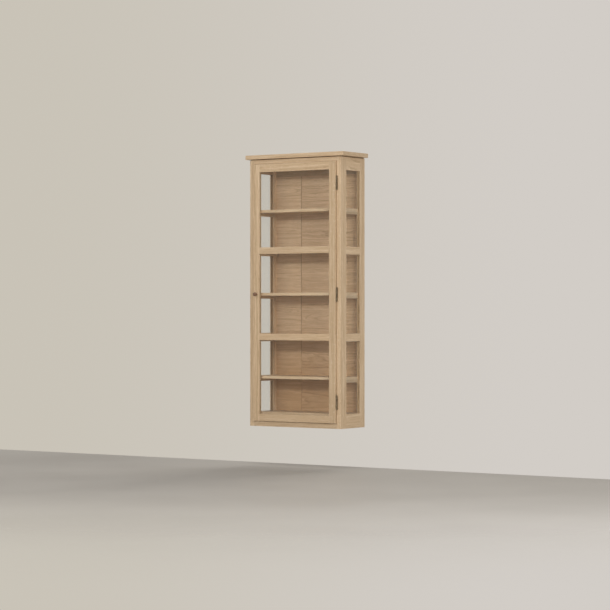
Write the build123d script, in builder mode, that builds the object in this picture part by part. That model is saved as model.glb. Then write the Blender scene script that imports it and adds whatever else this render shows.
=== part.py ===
from build123d import *
import os

# A wall-hung display cabinet in oak and glass: a slim case with three panes in each side, five shelves
# and a framed glass door that swings on three butt hinges along its right edge.
#
# Axes: +X is the cabinet's right, -Y its front and +Z up. The wall is the plane Y = 0. The origin lies on
# the wall, midway between the two wall screws. Heights in the tables below are measured from the
# underside of the case, and level() turns one into a Z in this frame.

# ---------------------------------------------------------------- driving dimensions, in millimetres
TOTAL_HEIGHT = 1500.0
TOP_WIDTH = 650.0
TOP_DEPTH = 250.0
TOP_THICKNESS = 23.0
BODY_WIDTH = 604.0
BODY_DEPTH = 237.0
SCREW_HEIGHT = 1434.0
SCREW_SPACING = 400.0
WALL_SCREW_RADIUS = 3.0

POST_WIDTH = 26.0
FRONT_POST_DEPTH = 55.0
REAR_POST_DEPTH = 46.0
SIDE_RAIL_THICKNESS = 22.0
SIDE_TOP_RAIL = (1402.0, 1477.0)
SIDE_BOTTOM_RAIL = (0.0, 76.0)
SIDE_UPPER_RAIL = (945.0, 987.0)
SIDE_LOWER_RAIL = (472.5, 514.5)
SHADOW_GROOVE_HEIGHT = 4.0
SHADOW_GROOVE_DEPTH = 5.0

FRONT_RAIL_THICKNESS = 26.0
FRONT_TOP_RAIL = (1450.5, 1477.0)
FRONT_BOTTOM_RAIL = (0.0, 27.5)
STOP_THICKNESS = 12.0
HANGING_RAIL = (1390.0, 1477.0)
HANGING_RAIL_THICKNESS = 22.0
REAR_BOTTOM_RAIL = (0.0, 64.0)
REAR_BOTTOM_RAIL_THICKNESS = 24.0
STOP_GAP = 1.5
STOP_SETBACK = 2.0

BOARD_THICKNESS = 16.0
BOTTOM_BOARD_TOP = 80.0
SHELF_TOPS = (1197.0, 975.5, 738.0, 500.5, 279.0)
SHELVES_BEHIND_RAILS = (2, 4)
SHELF_FRONT = -222.0
SHELF_PLAY = 1.0
EAR_PLAY = 2.5
BOARD_PLAY = 0.5
BEARER_HEIGHT = 16.0
BEARER_WIDTH = 12.0
BEARER_SETBACK = 2.0

BACK_THICKNESS = 8.0
BACK_FRONT = -20.0
BACK_BOTTOM = 40.0
BACK_SEAM = 103.0
SEAM_GAP = 3.0
SEAM_CHAMFER = 2.0
GROOVE_DEPTH = 8.0
TONGUE_LENGTH = 5.0
TONGUE_THICKNESS = 2.6
GROOVE_PLAY = 0.5

DOOR_WIDTH = 549.0
DOOR_THICKNESS = 20.0
DOOR_PROUD = 10.0
DOOR_STILE_WIDTH = 43.0
DOOR_TOP_RAIL = (1405.0, 1449.0)
DOOR_UPPER_RAIL = (952.0, 989.0)
DOOR_LOWER_RAIL = (476.5, 513.0)
DOOR_BOTTOM_RAIL = (29.0, 69.5)

REBATE = 8.0
SIDE_LIP = 6.0
DOOR_LIP = 7.0
GLASS_THICKNESS = 4.0
GLASS_PLAY = 1.0
BEAD_JOINT = 0.2
TENON_THICKNESS = 10.0
TENON_LENGTH = 15.0
TENON_SHOULDER = 5.0
SIDE_TENON_INSET = 4.0
HANGING_TENON_INSET = 6.0
REAR_TENON_INSET = 1.0
REAR_TENON_THICKNESS = 8.0
DOOR_TENON_THICKNESS = 7.0
DOOR_TENON_LENGTH = 25.0
EASED_EDGE = 1.0
TOP_EASED_EDGE = 1.5

DOWEL_RADIUS = 4.0
DOWEL_IN_TOP = 12.0
DOWEL_BELOW = 18.0
RAIL_DOWEL_X = 150.0

HINGE_CENTRES = (1331.0, 727.0, 143.0)
HINGE_LENGTH = 75.0
HINGE_KNUCKLES = 5
KNUCKLE_RADIUS = 4.8
KNUCKLE_GAP = 0.4
KNUCKLE_END_PLAY = 0.3
HINGE_AXIS_X = 280.0
LEAF_THICKNESS = 1.5
LEAF_WIDTH = 20.0
DOOR_LEAF_WIDTH = 16.0
WEB_WIDTH = 3.0
PIN_RADIUS = 2.0
PIN_RUNNING_CLEARANCE = 0.05
PIN_HEAD_RADIUS = 3.2
PIN_HEAD_HEIGHT = 1.2
HINGE_SCREW_SPACING = 26.0

SCREW_RADIUS = 1.5
SCREW_HEAD_RADIUS = 2.9
SCREW_LENGTH = 16.0
SCREW_TIP = 2.5
SCREW_SLOT_WIDTH = 0.7
SCREW_SLOT_DEPTH = 0.5

KNOB_HEIGHT = 730.0
KNOB_RADIUS = 11.0
KNOB_NECK_RADIUS = 5.5
KNOB_FOOT_RADIUS = 7.0
KNOB_WAIST_RADIUS = 9.5
KNOB_SHOULDER_RADIUS = 9.25
KNOB_CROWN_RADIUS = 5.0
KNOB_PROJECTION = 23.0
KNOB_NECK_AT = 5.5
KNOB_WAIST_AT = 12.0
KNOB_RIM_AT = 15.2
KNOB_SHOULDER_AT = 19.3
KNOB_CROWN_AT = 22.3
KNOB_BORE_DEPTH = 12.0
BOLT_RADIUS = 2.0
BOLT_HOLE_PLAY = 0.2
BOLT_HEAD_RADIUS = 4.0
BOLT_HEAD_HEIGHT = 2.5
BOLT_HEAD_ROUND = 0.8
BOLT_SEAT_PLAY = 0.5

CATCH_X = -265.0
CATCH_HEIGHT = 1426.0
MAGNET_RADIUS = 5.0
MAGNET_LENGTH = 10.0
STRIKE_RADIUS = 7.0
STRIKE_THICKNESS = 1.6
STRIKE_SCREW_LENGTH = 12.0
BUMPER_X = -205.0
BUMPER_RADIUS = 4.0
BUMPER_THICKNESS = 1.2

# ---------------------------------------------------------------- positions that follow from the sizes
HALF_BODY = BODY_WIDTH / 2
POST_INNER = HALF_BODY - POST_WIDTH
SIDE_RAIL_INNER = HALF_BODY - SIDE_RAIL_THICKNESS
SIDE_LIP_INNER = HALF_BODY - SIDE_LIP
SIDE_GLASS_INNER = SIDE_LIP_INNER - GLASS_THICKNESS
CASE_FRONT = -BODY_DEPTH
WINDOW_FRONT = CASE_FRONT + FRONT_POST_DEPTH
WINDOW_BACK = -REAR_POST_DEPTH
CASE_HEIGHT = TOTAL_HEIGHT - TOP_THICKNESS

DOOR_FRONT = CASE_FRONT - DOOR_PROUD
DOOR_BACK = DOOR_FRONT + DOOR_THICKNESS
DOOR_HALF = DOOR_WIDTH / 2
DOOR_WINDOW_HALF = DOOR_HALF - DOOR_STILE_WIDTH
DOOR_GLASS_FRONT = DOOR_FRONT + DOOR_LIP
DOOR_GLASS_BACK = DOOR_GLASS_FRONT + GLASS_THICKNESS
STOP_FRONT = DOOR_BACK + STOP_GAP
BACK_REAR = BACK_FRONT + BACK_THICKNESS
HINGE_AXIS_Y = CASE_FRONT - KNUCKLE_GAP - KNUCKLE_RADIUS
KNOB_X = -(DOOR_HALF + DOOR_WINDOW_HALF) / 2

SIDE_RAILS = {"top": SIDE_TOP_RAIL, "upper": SIDE_UPPER_RAIL, "lower": SIDE_LOWER_RAIL,
              "bottom": SIDE_BOTTOM_RAIL}
DOOR_RAILS = {"top": DOOR_TOP_RAIL, "upper": DOOR_UPPER_RAIL, "lower": DOOR_LOWER_RAIL,
              "bottom": DOOR_BOTTOM_RAIL}
SIDES = {"left": -1, "right": 1}
PANE_NAMES = ("top", "middle", "bottom")

os.makedirs("parts", exist_ok=True)


# ---------------------------------------------------------------- helpers
def level(height):
    """Z of a height above the underside of the case."""
    return height - SCREW_HEIGHT


def levels(span):
    """Both ends of a height span as Z values."""
    return level(span[0]), level(span[1])


def daylights(rails):
    """The clear heights between neighbouring rails, from the top window down, as Z pairs."""
    spans = list(rails.values())
    return [(level(below[1]), level(above[0])) for above, below in zip(spans, spans[1:])]


def grown(span, amount):
    """A span widened by an amount at both ends."""
    return min(span) - amount, max(span) + amount


def front_plane(y):
    """A plane square to Y at the given depth, whose normal points out of the cabinet's front."""
    return Plane.XZ.offset(-y)


def block(x, y, z, mode=Mode.ADD):
    """Add or cut a rectangular block between the given limits along X, Y and Z."""
    centre = ((x[0] + x[1]) / 2, (y[0] + y[1]) / 2, (z[0] + z[1]) / 2)
    with Locations(centre):
        Box(abs(x[1] - x[0]), abs(y[1] - y[0]), abs(z[1] - z[0]), mode=mode)


def rod(place, radius, length, mode=Mode.ADD):
    """Add or cut a round rod that starts on a plane and runs along its normal."""
    with Locations(place):
        Cylinder(radius, length, align=(Align.CENTER, Align.CENTER, Align.MIN), mode=mode)


def save(piece, name):
    """Label a finished piece and write it as its own STEP file."""
    piece.part.label = name
    export_step(piece.part, f"parts/{name}.step")


SIDE_WINDOWS = daylights(SIDE_RAILS)
DOOR_WINDOWS = daylights(DOOR_RAILS)


def tenon_heights(span, rebate_below, rebate_above):
    """The Z span of a rail's tenon: inside its rebates, with a shoulder at each edge."""
    low, high = levels(span)
    low += REBATE if rebate_below else TENON_SHOULDER
    high -= REBATE if rebate_above else TENON_SHOULDER
    return low, high


SIDE_TENONS = {name: tenon_heights(span, name != "bottom", name != "top")
               for name, span in SIDE_RAILS.items()}
DOOR_TENONS = {name: tenon_heights(span, name != "bottom", name != "top")
               for name, span in DOOR_RAILS.items()}
SIDE_TENON_X = (SIDE_RAIL_INNER + SIDE_TENON_INSET, SIDE_RAIL_INNER + SIDE_TENON_INSET + TENON_THICKNESS)
FRONT_TENON_Y = (CASE_FRONT + REBATE, CASE_FRONT + REBATE + TENON_THICKNESS)
HANGING_TENON_Y = (-HANGING_TENON_INSET - TENON_THICKNESS, -HANGING_TENON_INSET)
REAR_TENON_BACK = BACK_FRONT - REAR_TENON_INSET
REAR_BOTTOM_TENON_Y = (REAR_TENON_BACK - REAR_TENON_THICKNESS, REAR_TENON_BACK)
DOOR_TENON_Y = (DOOR_GLASS_FRONT, DOOR_GLASS_FRONT + DOOR_TENON_THICKNESS)


def dowel_places():
    """X and Y of the dowels that hold the top board down."""
    front_y = CASE_FRONT + FRONT_POST_DEPTH / 2
    rail_y = CASE_FRONT + FRONT_RAIL_THICKNESS / 2
    post_x = HALF_BODY - POST_WIDTH / 2
    places = []
    for sign in SIDES.values():
        places.append((sign * post_x, front_y))
        places.append((sign * post_x, -REAR_POST_DEPTH / 2))
        places.append((sign * RAIL_DOWEL_X, rail_y))
        places.append((sign * RAIL_DOWEL_X, -HANGING_RAIL_THICKNESS / 2))
    return places


def cut_dowel_holes():
    """Cut the blind dowel holes into the piece being built, where it meets any of them."""
    for x, y in dowel_places():
        rod(Plane((x, y, level(CASE_HEIGHT) - DOWEL_BELOW)), DOWEL_RADIUS,
            DOWEL_BELOW + DOWEL_IN_TOP, Mode.SUBTRACT)


def cut_shadow_groove():
    """Cut the narrow recess under the top board into the piece being built, on its front and outer faces."""
    heights = (level(CASE_HEIGHT - SHADOW_GROOVE_HEIGHT), level(CASE_HEIGHT))
    block((-HALF_BODY, HALF_BODY), (CASE_FRONT, CASE_FRONT + SHADOW_GROOVE_DEPTH), heights, Mode.SUBTRACT)
    for sign in SIDES.values():
        block((sign * (HALF_BODY - SHADOW_GROOVE_DEPTH), sign * HALF_BODY), (CASE_FRONT, 0.0), heights,
              Mode.SUBTRACT)


def screw_heights():
    """Z of every hinge screw."""
    return [level(centre) + step * HINGE_SCREW_SPACING for centre in HINGE_CENTRES for step in (-1, 0, 1)]


def turning_plane(origin, direction):
    """A plane for half a turned profile: its Y runs along the direction and its X is the radius."""
    return Plane(origin, x_dir=(0, 0, 1), z_dir=Vector(0, 0, 1).cross(Vector(direction)))


def add_screw(origin, direction, length):
    """Add a slotted countersunk screw with its head at the origin and its shank along the direction."""
    head_depth = SCREW_HEAD_RADIUS - SCREW_RADIUS
    with BuildSketch(turning_plane(origin, direction)) as half:
        with BuildLine():
            Polyline((0, 0), (SCREW_HEAD_RADIUS, 0), (SCREW_RADIUS, head_depth),
                     (SCREW_RADIUS, length - SCREW_TIP), (0, length), close=True)
        make_face()
    revolve(half.sketch, axis=Axis(origin, direction))
    with Locations(Plane(origin, x_dir=(0, 0, 1), z_dir=direction)):
        Box(3 * SCREW_HEAD_RADIUS, SCREW_SLOT_WIDTH, 2 * SCREW_SLOT_DEPTH, mode=Mode.SUBTRACT)


def countersink(origin, direction):
    """Cut the seat of a countersunk screw head, and its shank hole, along the direction."""
    head_depth = SCREW_HEAD_RADIUS - SCREW_RADIUS
    with BuildSketch(turning_plane(origin, direction)) as half:
        with BuildLine():
            Polyline((0, 0), (SCREW_HEAD_RADIUS, 0), (SCREW_RADIUS, head_depth),
                     (SCREW_RADIUS, 2 * head_depth), (0, 2 * head_depth), close=True)
        make_face()
    revolve(half.sketch, axis=Axis(origin, direction), mode=Mode.SUBTRACT)


# ---------------------------------------------------------------- posts
for side, sign in SIDES.items():
    with BuildPart() as front_post:
        with BuildSketch(Plane.XY.offset(level(0))):
            with Locations((sign * (HALF_BODY - POST_WIDTH / 2), CASE_FRONT + FRONT_POST_DEPTH / 2)):
                Rectangle(POST_WIDTH, FRONT_POST_DEPTH)
        extrude(amount=CASE_HEIGHT)
        outer_corner = front_post.edges().filter_by(Axis.Z).sort_by(Axis.Y)[:2].sort_by(Axis.X)
        fillet(outer_corner, EASED_EDGE)
        for low, high in SIDE_WINDOWS:
            block((sign * POST_INNER, sign * SIDE_LIP_INNER), (WINDOW_FRONT - REBATE, WINDOW_FRONT),
                  grown((low, high), REBATE), Mode.SUBTRACT)
        for tenon in SIDE_TENONS.values():
            block((sign * SIDE_TENON_X[0], sign * SIDE_TENON_X[1]),
                  (WINDOW_FRONT - TENON_LENGTH, WINDOW_FRONT), tenon, Mode.SUBTRACT)
        for rail in (FRONT_TOP_RAIL, FRONT_BOTTOM_RAIL):
            block((sign * POST_INNER, sign * (POST_INNER + TENON_LENGTH)), FRONT_TENON_Y,
                  tenon_heights(rail, False, False), Mode.SUBTRACT)
        cut_dowel_holes()
        cut_shadow_groove()
        if side == "right":
            for centre in HINGE_CENTRES:
                block((POST_INNER, POST_INNER + LEAF_THICKNESS), (CASE_FRONT, CASE_FRONT + LEAF_WIDTH),
                      grown((level(centre), level(centre)), HINGE_LENGTH / 2), Mode.SUBTRACT)
            for z in screw_heights():
                seat = Plane((POST_INNER, CASE_FRONT + LEAF_WIDTH / 2, z), z_dir=(1, 0, 0))
                rod(seat, SCREW_RADIUS, SCREW_LENGTH, Mode.SUBTRACT)
    save(front_post, f"front_{side}_post")

    with BuildPart() as rear_post:
        with BuildSketch(Plane.XY.offset(level(0))):
            with Locations((sign * (HALF_BODY - POST_WIDTH / 2), -REAR_POST_DEPTH / 2)):
                Rectangle(POST_WIDTH, REAR_POST_DEPTH)
        extrude(amount=CASE_HEIGHT)
        for low, high in SIDE_WINDOWS:
            block((sign * POST_INNER, sign * SIDE_LIP_INNER), (WINDOW_BACK, WINDOW_BACK + REBATE),
                  grown((low, high), REBATE), Mode.SUBTRACT)
        for tenon in SIDE_TENONS.values():
            block((sign * SIDE_TENON_X[0], sign * SIDE_TENON_X[1]),
                  (WINDOW_BACK, WINDOW_BACK + TENON_LENGTH), tenon, Mode.SUBTRACT)
        block((sign * POST_INNER, sign * (POST_INNER + TENON_LENGTH)), HANGING_TENON_Y,
              tenon_heights(HANGING_RAIL, True, False), Mode.SUBTRACT)
        block((sign * POST_INNER, sign * (POST_INNER + TENON_LENGTH)), REAR_BOTTOM_TENON_Y,
              tenon_heights(REAR_BOTTOM_RAIL, False, True), Mode.SUBTRACT)
        block((sign * POST_INNER, sign * (POST_INNER + GROOVE_DEPTH)), (BACK_FRONT, BACK_REAR),
              (level(BACK_BOTTOM), level(HANGING_RAIL[0]) + GROOVE_DEPTH), Mode.SUBTRACT)
        cut_dowel_holes()
        cut_shadow_groove()
    save(rear_post, f"rear_{side}_post")

# ---------------------------------------------------------------- side frames
for side, sign in SIDES.items():
    for name, span in SIDE_RAILS.items():
        low, high = levels(span)
        core_low = low if name == "bottom" else low + REBATE
        core_high = high if name == "top" else high - REBATE
        with BuildPart() as side_rail:
            with BuildSketch(front_plane(WINDOW_BACK)):
                with Locations((sign * (SIDE_LIP_INNER + HALF_BODY) / 2, (low + high) / 2)):
                    Rectangle(SIDE_LIP, high - low)
                core_x = sign * (SIDE_RAIL_INNER + SIDE_LIP_INNER) / 2
                with Locations((core_x, (core_low + core_high) / 2)):
                    Rectangle(SIDE_LIP_INNER - SIDE_RAIL_INNER, core_high - core_low)
            extrude(amount=WINDOW_BACK - WINDOW_FRONT)
            block((sign * SIDE_TENON_X[0], sign * SIDE_TENON_X[1]),
                  (WINDOW_FRONT - TENON_LENGTH, WINDOW_BACK + TENON_LENGTH), SIDE_TENONS[name])
            cut_shadow_groove()
        save(side_rail, f"{side}_side_{name}_rail")

    for name, (low, high) in zip(PANE_NAMES, SIDE_WINDOWS):
        pane_y = grown((WINDOW_FRONT, WINDOW_BACK), REBATE - GLASS_PLAY)
        pane_z = grown((low, high), REBATE - GLASS_PLAY)
        with BuildPart() as side_pane:
            with BuildSketch(Plane.YZ.offset(sign * (SIDE_GLASS_INNER + SIDE_LIP_INNER) / 2)):
                with Locations(((pane_y[0] + pane_y[1]) / 2, (pane_z[0] + pane_z[1]) / 2)):
                    Rectangle(pane_y[1] - pane_y[0], pane_z[1] - pane_z[0])
            extrude(amount=GLASS_THICKNESS / 2, both=True)
        save(side_pane, f"{side}_{name}_pane")

    with BuildPart() as side_beads:
        for low, high in SIDE_WINDOWS:
            for y in ((WINDOW_FRONT - REBATE, WINDOW_FRONT), (WINDOW_BACK, WINDOW_BACK + REBATE)):
                block((sign * POST_INNER, sign * SIDE_GLASS_INNER), y, grown((low, high), REBATE))
            for z in ((low - REBATE, low), (high, high + REBATE)):
                block((sign * SIDE_RAIL_INNER, sign * SIDE_GLASS_INNER),
                      grown((WINDOW_FRONT, WINDOW_BACK), -BEAD_JOINT), z)
    save(side_beads, f"{side}_glazing_beads")

# ---------------------------------------------------------------- front and rear cross rails
for name, span in {"top": FRONT_TOP_RAIL, "bottom": FRONT_BOTTOM_RAIL}.items():
    low, high = levels(span)
    with BuildPart() as front_rail:
        with BuildSketch(Plane.YZ.offset(-POST_INNER)):
            with Locations((CASE_FRONT + FRONT_RAIL_THICKNESS / 2, (low + high) / 2)):
                Rectangle(FRONT_RAIL_THICKNESS, high - low)
        extrude(amount=2 * POST_INNER)
        block((-POST_INNER - TENON_LENGTH, POST_INNER + TENON_LENGTH), FRONT_TENON_Y,
              tenon_heights(span, False, False))
        cut_dowel_holes()
        cut_shadow_groove()
    save(front_rail, f"front_{name}_rail")

STOP_SPANS = {"top": (DOOR_TOP_RAIL[0] + STOP_SETBACK, FRONT_TOP_RAIL[0]),
              "bottom": (FRONT_BOTTOM_RAIL[1], BOTTOM_BOARD_TOP - BOARD_THICKNESS)}
for name, span in STOP_SPANS.items():
    low, high = levels(span)
    with BuildPart() as door_stop:
        with BuildSketch(Plane.YZ.offset(-POST_INNER)):
            with Locations((STOP_FRONT + STOP_THICKNESS / 2, (low + high) / 2)):
                Rectangle(STOP_THICKNESS, high - low)
        extrude(amount=2 * POST_INNER)
        if name == "top":
            magnet_face = Plane((CATCH_X, STOP_FRONT, level(CATCH_HEIGHT)), z_dir=(0, 1, 0))
            rod(magnet_face, MAGNET_RADIUS, MAGNET_LENGTH, Mode.SUBTRACT)
    save(door_stop, f"{name}_door_stop")

with BuildPart() as hanging_rail:
    low, high = levels(HANGING_RAIL)
    with BuildSketch(Plane.YZ.offset(-POST_INNER)):
        with Locations((-HANGING_RAIL_THICKNESS / 2, (low + high) / 2)):
            Rectangle(HANGING_RAIL_THICKNESS, high - low)
        with Locations(((BACK_FRONT + BACK_REAR) / 2, low + GROOVE_DEPTH / 2)):
            Rectangle(BACK_THICKNESS, GROOVE_DEPTH, mode=Mode.SUBTRACT)
    extrude(amount=2 * POST_INNER)
    block((-POST_INNER - TENON_LENGTH, POST_INNER + TENON_LENGTH), HANGING_TENON_Y,
          tenon_heights(HANGING_RAIL, True, False))
    cut_dowel_holes()
    for x in (-SCREW_SPACING / 2, SCREW_SPACING / 2):
        rod(Plane((x, -HANGING_RAIL_THICKNESS, 0), z_dir=(0, 1, 0)), WALL_SCREW_RADIUS,
            HANGING_RAIL_THICKNESS, Mode.SUBTRACT)
save(hanging_rail, "hanging_rail")

with BuildPart() as rear_bottom_rail:
    low, high = levels(REAR_BOTTOM_RAIL)
    with BuildSketch(Plane.YZ.offset(-POST_INNER)):
        with Locations((BACK_REAR - REAR_BOTTOM_RAIL_THICKNESS / 2, (low + high) / 2)):
            Rectangle(REAR_BOTTOM_RAIL_THICKNESS, high - low)
        with Locations(((BACK_FRONT + BACK_REAR) / 2, (level(BACK_BOTTOM) + high) / 2)):
            Rectangle(BACK_THICKNESS, high - level(BACK_BOTTOM), mode=Mode.SUBTRACT)
    extrude(amount=2 * POST_INNER)
    block((-POST_INNER - TENON_LENGTH, POST_INNER + TENON_LENGTH), REAR_BOTTOM_TENON_Y,
          tenon_heights(REAR_BOTTOM_RAIL, False, True))
save(rear_bottom_rail, "rear_bottom_rail")

# ---------------------------------------------------------------- top, bottom and back boards
with BuildPart() as top_board:
    with BuildSketch(Plane.XY.offset(level(CASE_HEIGHT))):
        with Locations((0, -TOP_DEPTH / 2)):
            Rectangle(TOP_WIDTH, TOP_DEPTH)
    extrude(amount=TOP_THICKNESS)
    fillet(top_board.edges(), TOP_EASED_EDGE)
    cut_dowel_holes()
save(top_board, "top_board")

with BuildPart() as top_dowels:
    for x, y in dowel_places():
        rod(Plane((x, y, level(CASE_HEIGHT) - DOWEL_BELOW)), DOWEL_RADIUS, DOWEL_BELOW + DOWEL_IN_TOP)
save(top_dowels, "top_board_dowels")

with BuildPart() as bottom_board:
    with BuildSketch(Plane.XY.offset(level(BOTTOM_BOARD_TOP - BOARD_THICKNESS))):
        with Locations((0, (SHELF_FRONT + BACK_FRONT) / 2)):
            Rectangle(2 * (POST_INNER - BOARD_PLAY), BACK_FRONT - SHELF_FRONT)
        with Locations((0, (WINDOW_FRONT + WINDOW_BACK) / 2)):
            Rectangle(2 * (SIDE_RAIL_INNER - BOARD_PLAY), WINDOW_BACK - WINDOW_FRONT - 2 * BOARD_PLAY)
    extrude(amount=BOARD_THICKNESS)
save(bottom_board, "bottom_board")

BACK_SPAN = (level(BACK_BOTTOM), level(HANGING_RAIL[0]) + GROOVE_DEPTH - GROOVE_PLAY)
BACK_MIDDLE = (BACK_FRONT + BACK_REAR) / 2
BACK_HALF = POST_INNER + GROOVE_DEPTH - GROOVE_PLAY
CENTRE_HALF = BACK_SEAM - SEAM_GAP / 2
SIDE_BOARD_INNER = BACK_SEAM + SEAM_GAP / 2

with BuildPart() as back_centre:
    with BuildSketch(Plane.XY.offset(BACK_SPAN[0])):
        with Locations((0, BACK_MIDDLE)):
            Rectangle(2 * CENTRE_HALF, BACK_THICKNESS)
            Rectangle(2 * (SIDE_BOARD_INNER + TONGUE_LENGTH), TONGUE_THICKNESS)
    extrude(amount=BACK_SPAN[1] - BACK_SPAN[0])
    chamfer(back_centre.edges().filter_by(Axis.Z).group_by(Axis.Y)[0], SEAM_CHAMFER)
save(back_centre, "back_board_centre")

for side, sign in SIDES.items():
    with BuildPart() as back_side:
        with BuildSketch(Plane.XY.offset(BACK_SPAN[0])):
            with Locations((sign * (SIDE_BOARD_INNER + BACK_HALF) / 2, BACK_MIDDLE)):
                Rectangle(BACK_HALF - SIDE_BOARD_INNER, BACK_THICKNESS)
            with Locations((sign * (SIDE_BOARD_INNER + (TONGUE_LENGTH + GROOVE_PLAY) / 2), BACK_MIDDLE)):
                Rectangle(TONGUE_LENGTH + GROOVE_PLAY, TONGUE_THICKNESS + GROOVE_PLAY, mode=Mode.SUBTRACT)
        extrude(amount=BACK_SPAN[1] - BACK_SPAN[0])
        front_edges = back_side.edges().filter_by(Axis.Z).group_by(Axis.Y)[0].sort_by(Axis.X)
        chamfer(front_edges[0] if sign > 0 else front_edges[-1], SEAM_CHAMFER)
    save(back_side, f"back_board_{side}")

# ---------------------------------------------------------------- shelves and their bearers
SHELF_BACK = BACK_FRONT - SHELF_PLAY
SHELF_HALF = POST_INNER - SHELF_PLAY
EAR_HALF = SIDE_GLASS_INNER - EAR_PLAY
for number, top in enumerate(SHELF_TOPS, start=1):
    with BuildPart() as shelf:
        with BuildSketch(Plane.XY.offset(level(top) - BOARD_THICKNESS)):
            with Locations((0, (SHELF_FRONT + SHELF_BACK) / 2)):
                Rectangle(2 * SHELF_HALF, SHELF_BACK - SHELF_FRONT)
            if number not in SHELVES_BEHIND_RAILS:
                with Locations((0, (WINDOW_FRONT + WINDOW_BACK) / 2)):
                    Rectangle(2 * EAR_HALF, WINDOW_BACK - WINDOW_FRONT - 2 * SHELF_PLAY)
        extrude(amount=BOARD_THICKNESS)
        fillet(shelf.edges().filter_by(Axis.X).group_by(Axis.Y)[0], EASED_EDGE)
    save(shelf, f"shelf_{number}")

for side, sign in SIDES.items():
    with BuildPart() as bearers:
        for number, top in enumerate(SHELF_TOPS, start=1):
            underside = level(top) - BOARD_THICKNESS
            if number in SHELVES_BEHIND_RAILS:
                bearer_x = (sign * (POST_INNER - BEARER_WIDTH), sign * POST_INNER)
                bearer_y = (SHELF_FRONT + BEARER_SETBACK, SHELF_BACK - SHELF_PLAY)
            else:
                bearer_x = (sign * (EAR_HALF - BEARER_WIDTH), sign * EAR_HALF)
                bearer_y = (WINDOW_FRONT, WINDOW_BACK)
            block(bearer_x, bearer_y, (underside - BEARER_HEIGHT, underside))
    save(bearers, f"{side}_shelf_bearers")

# ---------------------------------------------------------------- door frame
DOOR_SPAN = (level(DOOR_BOTTOM_RAIL[0]), level(DOOR_TOP_RAIL[1]))
STRIKE_FACE = (CATCH_X, DOOR_BACK, level(CATCH_HEIGHT))
KNOB_FOOT = (KNOB_X, DOOR_FRONT, level(KNOB_HEIGHT))
BOLT_HEAD_SEAT = DOOR_BACK - BOLT_HEAD_HEIGHT - BOLT_SEAT_PLAY
DOOR_LEAF_FRONT = DOOR_BACK - DOOR_LEAF_WIDTH

for side, sign in SIDES.items():
    with BuildPart() as stile:
        with BuildSketch(Plane.XY.offset(DOOR_SPAN[0])):
            with Locations((sign * (DOOR_HALF + DOOR_WINDOW_HALF) / 2, (DOOR_FRONT + DOOR_BACK) / 2)):
                Rectangle(DOOR_STILE_WIDTH, DOOR_THICKNESS)
        extrude(amount=DOOR_SPAN[1] - DOOR_SPAN[0])
        front_edges = stile.edges().filter_by(Axis.Z).group_by(Axis.Y)[0].sort_by(Axis.X)
        fillet(front_edges[0] if sign < 0 else front_edges[-1], EASED_EDGE)
        for low, high in DOOR_WINDOWS:
            block((sign * DOOR_WINDOW_HALF, sign * (DOOR_WINDOW_HALF + REBATE)),
                  (DOOR_GLASS_FRONT, DOOR_BACK), grown((low, high), REBATE), Mode.SUBTRACT)
        for tenon in DOOR_TENONS.values():
            block((sign * DOOR_WINDOW_HALF, sign * (DOOR_WINDOW_HALF + DOOR_TENON_LENGTH)),
                  DOOR_TENON_Y, tenon, Mode.SUBTRACT)
        if side == "right":
            for centre in HINGE_CENTRES:
                block((DOOR_HALF - LEAF_THICKNESS, DOOR_HALF), (DOOR_LEAF_FRONT, DOOR_BACK),
                      grown((level(centre), level(centre)), HINGE_LENGTH / 2), Mode.SUBTRACT)
            for z in screw_heights():
                seat = Plane((DOOR_HALF, (DOOR_LEAF_FRONT + DOOR_BACK) / 2, z), z_dir=(-1, 0, 0))
                rod(seat, SCREW_RADIUS, SCREW_LENGTH, Mode.SUBTRACT)
        if side == "left":
            rod(Plane(STRIKE_FACE, z_dir=(0, -1, 0)), STRIKE_RADIUS, STRIKE_THICKNESS, Mode.SUBTRACT)
            rod(Plane(STRIKE_FACE, z_dir=(0, -1, 0)), SCREW_RADIUS, STRIKE_SCREW_LENGTH, Mode.SUBTRACT)
            rod(Plane((KNOB_X, DOOR_BACK, level(KNOB_HEIGHT)), z_dir=(0, -1, 0)),
                BOLT_HEAD_RADIUS + BOLT_SEAT_PLAY, DOOR_BACK - BOLT_HEAD_SEAT, Mode.SUBTRACT)
            rod(Plane(KNOB_FOOT, z_dir=(0, 1, 0)),
                BOLT_RADIUS + BOLT_HOLE_PLAY, DOOR_THICKNESS, Mode.SUBTRACT)
    save(stile, f"door_{side}_stile")

for name, span in DOOR_RAILS.items():
    low, high = levels(span)
    core_low = low if name == "bottom" else low + REBATE
    core_high = high if name == "top" else high - REBATE
    with BuildPart() as door_rail:
        with BuildSketch(Plane.YZ.offset(-DOOR_WINDOW_HALF)):
            with Locations(((DOOR_FRONT + DOOR_GLASS_FRONT) / 2, (low + high) / 2)):
                Rectangle(DOOR_LIP, high - low)
            with Locations(((DOOR_GLASS_FRONT + DOOR_BACK) / 2, (core_low + core_high) / 2)):
                Rectangle(DOOR_BACK - DOOR_GLASS_FRONT, core_high - core_low)
        extrude(amount=2 * DOOR_WINDOW_HALF)
        block(grown((-DOOR_WINDOW_HALF, DOOR_WINDOW_HALF), DOOR_TENON_LENGTH),
              DOOR_TENON_Y, DOOR_TENONS[name])
    save(door_rail, f"door_{name}_rail")

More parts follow.
